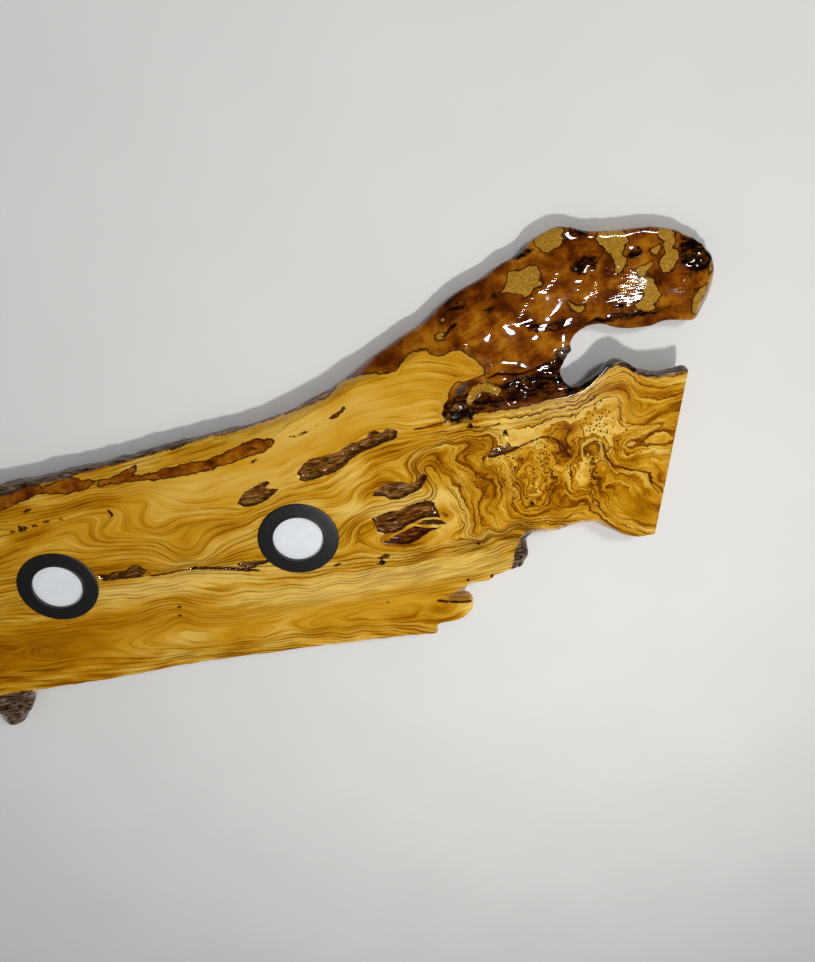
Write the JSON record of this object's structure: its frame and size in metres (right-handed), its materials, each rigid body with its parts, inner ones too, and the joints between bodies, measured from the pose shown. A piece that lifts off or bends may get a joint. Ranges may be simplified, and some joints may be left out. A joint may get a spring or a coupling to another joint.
{
  "type": "olive wood slab",
  "caption": "Waney-edged olive wood slab with a rounded fork limb, sawn flat on face and back, with round downlights let into its varnished face.",
  "frame": {"origin": "middle of the part's box, at the level of the slab's flat sawn back", "axes": "+X along the slab, from the plain sawn end to the forked end; +Z out of the polished face; +Y towards the limb's side"},
  "size_m": [1.2205, 0.6074, 0.0484],
  "materials": {
    "olive_wood": "glossy clear varnish over figured olive wood",
    "black_trim": "satin black",
    "opal_diffuser": "matt opal",
    "cast_aluminium": "as cast",
    "led_board": "white solder resist",
    "spring_steel": "bright",
    "black_rubber": "matt"
  },
  "bodies": {
    "root": {"olive_slab": "olive_wood", "trim_ring_left": "black_trim", "trim_ring_right": "black_trim", "diffuser_left": "opal_diffuser", "diffuser_right": "opal_diffuser", "led_board_left": "led_board", "led_board_right": "led_board", "lamp_can_left": "cast_aluminium", "lamp_can_right": "cast_aluminium", "cable_grommet_left": "black_rubber", "cable_grommet_right": "black_rubber", "spring_clip_left_a": "spring_steel", "spring_clip_left_b": "spring_steel", "spring_clip_right_a": "spring_steel", "spring_clip_right_b": "spring_steel"}
  },
  "joints": []
}
